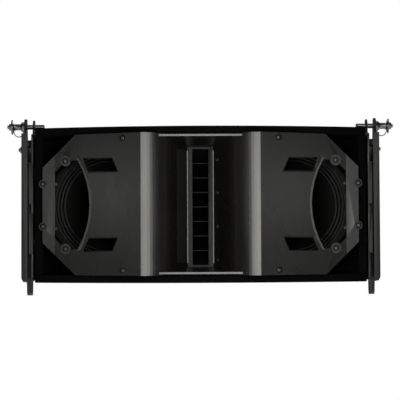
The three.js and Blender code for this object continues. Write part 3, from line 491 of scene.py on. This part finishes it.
def screw_tree():
    """Button-head screws with a hexagon socket, one at each point, turned to its aim."""
    tree = bpy.data.node_groups.new("button_screws", "GeometryNodeTree")
    sockets = tree.interface
    sockets.new_socket("Places", in_out="INPUT", socket_type="NodeSocketGeometry")
    for name in ("Head radius", "Head height"):
        sockets.new_socket(name, in_out="INPUT", socket_type="NodeSocketFloat")
    sockets.new_socket("Finish", in_out="INPUT", socket_type="NodeSocketMaterial")
    sockets.new_socket("Screws", in_out="OUTPUT", socket_type="NodeSocketGeometry")

    def add(kind, **settings):
        made = tree.nodes.new(kind)
        for key, setting in settings.items():
            setattr(made, key, setting)
        return made

    link = tree.links.new
    given = add("NodeGroupInput")
    result = add("NodeGroupOutput")
    head = add("GeometryNodeMeshCylinder", fill_type="NGON")
    head.inputs["Vertices"].default_value = HEAD_SIDES
    link(given.outputs["Head radius"], head.inputs["Radius"])
    link(given.outputs["Head height"], head.inputs["Depth"])
    crown = add("GeometryNodeExtrudeMesh", mode="FACES")
    crown.inputs["Individual"].default_value = False
    link(head.outputs["Mesh"], crown.inputs["Mesh"])
    link(head.outputs["Top"], crown.inputs["Selection"])
    link(given.outputs["Head height"], crown.inputs["Offset Scale"])
    narrow = add("GeometryNodeScaleElements", domain="FACE")
    narrow.inputs["Scale"].default_value = CROWN_SHARE
    link(crown.outputs["Mesh"], narrow.inputs["Geometry"])
    link(crown.outputs["Top"], narrow.inputs["Selection"])
    socket = add("GeometryNodeMeshCylinder", fill_type="NGON")
    socket.inputs["Vertices"].default_value = SOCKET_SIDES
    width = add("ShaderNodeMath", operation="MULTIPLY")
    width.inputs[1].default_value = SOCKET_SHARE
    link(given.outputs["Head radius"], width.inputs[0])
    link(width.outputs[0], socket.inputs["Radius"])
    link(given.outputs["Head height"], socket.inputs["Depth"])
    lift = add("ShaderNodeCombineXYZ")
    raise_by = add("ShaderNodeMath", operation="MULTIPLY")
    raise_by.inputs[1].default_value = SOCKET_LIFT
    link(given.outputs["Head height"], raise_by.inputs[0])
    link(raise_by.outputs[0], lift.inputs["Z"])
    shift = add("GeometryNodeTransform")
    link(socket.outputs["Mesh"], shift.inputs["Geometry"])
    link(lift.outputs[0], shift.inputs["Translation"])
    bored = add("GeometryNodeMeshBoolean", operation="DIFFERENCE")
    link(narrow.outputs[0], bored.inputs[0])
    link(shift.outputs[0], bored.inputs[1])
    aim = add("GeometryNodeInputNamedAttribute", data_type="FLOAT_VECTOR")
    aim.inputs["Name"].default_value = "aim"
    turned = add("FunctionNodeAlignRotationToVector", axis="Z")
    link(aim.outputs["Attribute"], turned.inputs["Vector"])
    copies = add("GeometryNodeInstanceOnPoints")
    link(given.outputs["Places"], copies.inputs["Points"])
    link(bored.outputs[0], copies.inputs["Instance"])
    link(turned.outputs[0], copies.inputs["Rotation"])
    real = add("GeometryNodeRealizeInstances")
    link(copies.outputs[0], real.inputs[0])
    finish = add("GeometryNodeSetMaterial")
    link(real.outputs[0], finish.inputs["Geometry"])
    link(given.outputs["Finish"], finish.inputs["Material"])
    link(finish.outputs[0], result.inputs["Screws"])
    return tree


def screws(name, places, head_radius, head_height):
    """Screws at (position, outward direction) places, as one plain mesh on the fixed body."""
    points = bpy.data.meshes.new(name + "_places")
    points.from_pydata([position for position, _ in places], [], [])
    aim = points.attributes.new("aim", "FLOAT_VECTOR", "POINT")
    outward = [Vector(direction).normalized() for _, direction in places]
    aim.data.foreach_set("vector", [value for direction in outward for value in direction])
    holder = bpy.data.objects.new(name + "_places", points)
    bpy.context.scene.collection.objects.link(holder)
    modifier = holder.modifiers.new("screws", "NODES")
    modifier.node_group = SCREWS
    inputs = {"Head radius": head_radius, "Head height": head_height, "Finish": SCREW_FINISH}
    for item in SCREWS.interface.items_tree:
        if item.item_type == "SOCKET" and item.in_out == "INPUT" and item.name in inputs:
            modifier[item.identifier] = inputs[item.name]
    seen = holder.evaluated_get(bpy.context.evaluated_depsgraph_get())
    mesh = bpy.data.meshes.new_from_object(seen)
    mesh.name = name
    bpy.data.objects.remove(holder)
    new_piece(name, mesh, SCREW_FINISH, "root")


SCREWS = screw_tree()


def face_at(node, x, z, from_y=-1.0):
    """Where a line along +Y at (x, z) first meets a node, and the face's direction."""
    mesh = frame["nodes"][node].data
    tree = BVHTree.FromPolygons([v.co for v in mesh.vertices], [p.vertices for p in mesh.polygons])
    where, normal, _, _ = tree.ray_cast(Vector((x, from_y, z)), Vector((0, 1, 0)))
    if where is None:
        raise ValueError(f"{node} has no face at {x:.3f}, {z:.3f}")
    return where, normal


WASHER_BORE = 0.7             # share of a washer's radius; the disc of painted shade round the screw lies inside it
WASHER_RIM = 0.9              # share of the radius where the rounded rim meets the flat top
WASHER_SHOULDER = 0.6         # share of the thickness where the rim starts to round
WASHER_STEPS = 24
# thickness of the painted shade discs, half above and half below each place
SHADE_DISC_LIFT = 0.0005


def painted_shade_discs(name, places, washer_radius):
    """Dark discs in the bores of washers, under the screw heads: painted shade for the shaded gap round each
    screw.
    """
    shape = bmesh.new()
    for place, direction in places:
        turn = Vector(direction).to_track_quat("Z", "Y").to_matrix().to_4x4()
        made = bmesh.ops.create_cone(shape, cap_ends=True, segments=WASHER_STEPS,
                                     radius1=washer_radius * WASHER_BORE,
                                     radius2=washer_radius * WASHER_BORE, depth=SHADE_DISC_LIFT * 2)
        for vert in made["verts"]:
            vert.co = Vector(place) + turn @ vert.co
    mesh = bpy.data.meshes.new(name)
    shape.to_mesh(mesh)
    shape.free()
    # The dark coat here is painted shade, not the colour of a part.
    new_piece(name, mesh, dark_coat(), "root")


def washers(name, places, radius, thick):
    """Flat rings round screw heads, with a rounded rim."""
    mesh = bpy.data.meshes.new(name)
    shape = bmesh.new()
    bore = radius * WASHER_BORE
    section = ((radius, 0.0), (radius, thick * WASHER_SHOULDER), (radius * WASHER_RIM, thick),
               (bore, thick), (bore, 0))
    for place, direction in places:
        turn = Vector(direction).to_track_quat("Z", "Y").to_matrix().to_4x4()
        rings = []
        for r, z in section:
            around = [math.tau * i / WASHER_STEPS for i in range(WASHER_STEPS)]
            ring = [Vector((r * math.cos(angle), r * math.sin(angle), z)) for angle in around]
            rings.append([shape.verts.new(Vector(place) + turn @ point) for point in ring])
        for inner, outer in zip(rings, rings[1:] + rings[:1]):
            for i in range(WASHER_STEPS):
                j = (i + 1) % WASHER_STEPS
                shape.faces.new((inner[i], inner[j], outer[j], outer[i]))
    bmesh.ops.recalc_face_normals(shape, faces=shape.faces)
    shape.to_mesh(mesh)
    shape.free()
    mesh.shade_smooth()
    mesh.set_sharp_from_angle(angle=REVOLVED_SMOOTH)
    new_piece(name, mesh, FINISHES["moulded_plastic"], "root")


LOBE = (0.312, 0.042)         # screws on the ears of the side bars: across and up from the middle
PORT_BOSS = (0.267, 0.087)    # screws on the bosses of the woofer openings
PANEL_SCREW = (0.1535, 0.1305)
MOULDING_HEAD = (0.0036, 0.0009)
MOULDING_WASHER = (0.0084, 0.0018)
THROAT_SCREW_X = 0.0345
THROAT_SCREWS = (0.094, 0.027, -0.041, -0.108)
THROAT_HEAD = (0.0042, 0.0016)
THROAT_WASHER = (0.0062, 0.0008)
HEAD_SINK = 0.0004


def moulding_places(spots):
    """Places on the moulding's front face, across and up from its middle."""
    low, high = (Vector(c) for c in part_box("front_moulding"))
    mid = (low.z + high.z) / 2
    places = []
    for across, up in spots:
        where, normal = face_at("front_moulding", across, mid + up)
        places.append((where - normal * HEAD_SINK, normal))
    return places


def moulding_screws():
    places = moulding_places([(sign * across, up * height) for sign in (-1, 1)
                              for across, height in (LOBE, PORT_BOSS, PANEL_SCREW) for up in (-1, 1)])
    screws("moulding_screws", places, *MOULDING_HEAD)
    washers("moulding_washers", places, *MOULDING_WASHER)
    # Dark discs of painted shade in the washers' bores.
    painted_shade_discs("moulding_painted_shade_discs", places, MOULDING_WASHER[0])
    places = moulding_places([(THROAT_SCREW_X, height) for height in THROAT_SCREWS])
    screws("throat_screws", places, *THROAT_HEAD)
    washers("throat_washers", places, *THROAT_WASHER)


BEAD = (0.0008, 0.0012, 0.114)  # half width, half depth and half height
BEAD_X = 0.0262
BEAD_FRONT = 0.0016           # from the waveguide's front to the bead's middle
BEAD_ROUND = 0.0005


def throat_beads():
    """Thin raised beads along the two long edges of the waveguide's frame."""
    low, high = (Vector(c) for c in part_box("hf_waveguide"))
    for side, sign in SIDES.items():
        shape = bmesh.new()
        bmesh.ops.create_cube(shape, size=2)
        bmesh.ops.scale(shape, vec=BEAD, verts=shape.verts)
        middle = (sign * BEAD_X, low.y - BEAD_FRONT, (low.z + high.z) / 2)
        bmesh.ops.translate(shape, vec=middle, verts=shape.verts)
        bmesh.ops.bevel(shape, geom=shape.edges[:], offset=BEAD_ROUND, segments=2, affect="EDGES")
        mesh = bpy.data.meshes.new(f"throat_bead_{side}")
        shape.to_mesh(mesh)
        shape.free()
        new_piece(f"throat_bead_{side}", mesh, FINISHES["moulded_plastic"], "root")


FRAME_SCREWS = 8
FRAME_SCREW_INSET = 0.0055    # from the basket's rim
FRAME_SCREW_SINK = 0.0002


def frame_screws():
    """Screws round each woofer's frame, half a step off the upright."""
    places = []
    for side in SIDES:
        centre, outer, front, _ = ring_of(f"woofer_basket_{side}")
        ring = outer - FRAME_SCREW_INSET
        for i in range(FRAME_SCREWS):
            angle = math.radians((i + 0.5) * 360 / FRAME_SCREWS)
            across, up = ring * math.cos(angle), ring * math.sin(angle)
            places.append(((centre.x + across, front + FRAME_SCREW_SINK, centre.z + up), (0, -1, 0)))
    screws("woofer_frame_screws", places, 0.0036, 0.0014)


SCREW_SINK = 0.0003
HANDLE_FLANGE = 0.0033        # how far a handle's flange stands off the rear panel
REAR_INSETS = {"connector_plate": 0.007, "rear_handle_left": 0.006, "rear_handle_right": 0.006}


def rear_screws():
    """One screw in each corner of the connector plate and the handles."""
    places = []
    for node, inset in REAR_INSETS.items():
        low, high = (Vector(c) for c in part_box(node))
        depth = high.y if node == "connector_plate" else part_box("cabinet_rear")[1][1] + HANDLE_FLANGE
        for x in (low.x + inset, high.x - inset):
            for z in (low.z + inset, high.z - inset):
                places.append(((x, depth - SCREW_SINK, z), (0, 1, 0)))
    screws("rear_screws", places, 0.0032, 0.0013)


BOLT_DEPTHS = (0.10, 0.21, 0.29)  # behind the plate's front edge
BOLT_HEIGHTS = (-0.075, 0.075)
BOLT_SEAT = 0.004             # in from the plate's outermost point; the heads end just under its flat face


def rigging_screws():
    """Hexagon-socket bolts that hold the outer plates through to the cabinet sides."""
    places = []
    for side, sign in SIDES.items():
        low, high = (Vector(c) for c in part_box(f"rigging_outer_plate_{side}"))
        seat = sign * (max(abs(low.x), abs(high.x)) - BOLT_SEAT)
        for y in BOLT_DEPTHS:
            for z in BOLT_HEIGHTS:
                places.append(((seat - sign * SCREW_SINK, low.y + y, z), (sign, 0, 0)))
    screws("rigging_screws", places, 0.0075, 0.0011)


# ---- camera, floor and light ----

LENS = 188
SENSOR = 36
DISTANCE = 4.1
AIM_RIGHT = math.radians(0.247)
AIM_UP = math.radians(3.29)
ROLL = math.radians(-0.25)
CAMERA_X = -0.019
CAMERA_Z = -0.2278
FRONT_INSET = 0.012           # from the foremost point back to the plane that the distance is measured from


def look(holder, direction, roll=0.0):
    """Turn a camera or lamp to look along a direction, then roll it about that line."""
    holder.rotation_euler = direction.to_track_quat("-Z", "Y").to_euler()
    holder.rotation_euler.rotate_axis("Z", roll)


def make_camera():
    lens = bpy.data.cameras.new("camera")
    lens.lens = LENS
    lens.sensor_width = SENSOR
    lens.clip_end = 60
    camera = bpy.data.objects.new("camera", lens)
    bpy.context.scene.collection.objects.link(camera)
    front = cad_bounds[0][1] + FRONT_INSET
    camera.location = (CAMERA_X, front - DISTANCE, CAMERA_Z)
    look(camera, Vector((math.tan(AIM_RIGHT), 1, math.tan(AIM_UP))), ROLL)
    bpy.context.scene.camera = camera


FLOOR_SIZE = 9
FLOOR_Z = -1.15
FLOOR_GLOW = 0.45             # keeps the pale floor pale under the low studio light


def make_floor():
    bpy.ops.mesh.primitive_plane_add(size=FLOOR_SIZE, location=(0, 0, FLOOR_Z))
    floor = bpy.context.object
    floor.name = "floor"
    pale = Finish("pale_floor", (0.86, 0.86, 0.86), 0.8)
    pale.feed("Base Color", pale.blend(pale.noise(1.5, 2), (0.84, 0.84, 0.84), (0.88, 0.88, 0.88)))
    pale.shader.inputs["Emission Color"].default_value = (1, 1, 1, 1)
    pale.shader.inputs["Emission Strength"].default_value = FLOOR_GLOW
    floor.data.materials.append(pale.material)


def soft_light(name, place, aim, size, watts, colour):
    lamp = bpy.data.lights.new(name, "AREA")
    lamp.color = colour
    lamp.shape = "RECTANGLE"
    lamp.size, lamp.size_y = size
    lamp.energy = watts
    holder = bpy.data.objects.new(name, lamp)
    bpy.context.scene.collection.objects.link(holder)
    holder.location = place
    holder.visible_camera = False
    look(holder, Vector(aim) - Vector(place))


FRONT = cad_bounds[0][1]
MIDDLE = (0, 0, 0)
WARM = (1, 0.99, 0.92)
WHITE = (1, 1, 1)
# Place, aim, size, power and colour of each lamp.
LAMPS = {
    "horn_glow": ((0.02, FRONT - 0.45, 0.0), MIDDLE, (0.3, 0.5), 2.95, WARM),
    "panel_glow_left": ((-0.46, FRONT - 0.53, 0.06), (-0.2, -0.19, 0.01), (0.14, 0.07), 0.08, WHITE),
    "panel_glow_right": ((0.46, FRONT - 0.53, 0.06), (0.2, -0.19, 0.01), (0.14, 0.07), 0.08, WHITE),
    "front_box": ((0.1, -4.1, 0.3), MIDDLE, (0.7, 0.7), 8.8, WHITE),
    "strip_left": ((-2.0, -3.9, 0.29), MIDDLE, (0.9, 0.3), 1.5, WHITE),
    "strip_right": ((2.0, -3.9, 0.29), MIDDLE, (0.9, 0.3), 1.5, WHITE),
    "overhead": ((0, -0.4, 2.6), MIDDLE, (2.0, 1.4), 6, WHITE),
    "rear_fill": ((0.4, 3.0, 1.4), MIDDLE, (2.4, 1.6), 26, WHITE),
}
ROOM_LIGHT = 0.05


def make_light():
    for name, lamp in LAMPS.items():
        soft_light(name, *lamp)
    world = bpy.data.worlds.new("studio")
    world.use_nodes = True
    bpy.context.scene.world = world
    tree = world.node_tree
    backdrop = tree.nodes["Background"]
    backdrop.inputs["Color"].default_value = (1, 1, 1, 1)
    backdrop.inputs["Strength"].default_value = 1.0
    room = tree.nodes.new("ShaderNodeBackground")
    room.inputs["Color"].default_value = (0.9, 0.95, 1, 1)
    room.inputs["Strength"].default_value = ROOM_LIGHT
    seen = tree.nodes.new("ShaderNodeLightPath")
    mix = tree.nodes.new("ShaderNodeMixShader")
    tree.links.new(seen.outputs["Is Camera Ray"], mix.inputs["Fac"])
    tree.links.new(room.outputs[0], mix.inputs[1])
    tree.links.new(backdrop.outputs[0], mix.inputs[2])
    tree.links.new(mix.outputs[0], tree.nodes["World Output"].inputs["Surface"])
    bpy.context.scene.view_settings.view_transform = "Standard"


make_camera()
make_floor()
make_light()
soften_all()
for side in SIDES:
    rolled_surround(side)
    pulp_cone(side)
    domed_cap(side)
moulding_screws()
throat_beads()
frame_screws()
rear_screws()
rigging_screws()
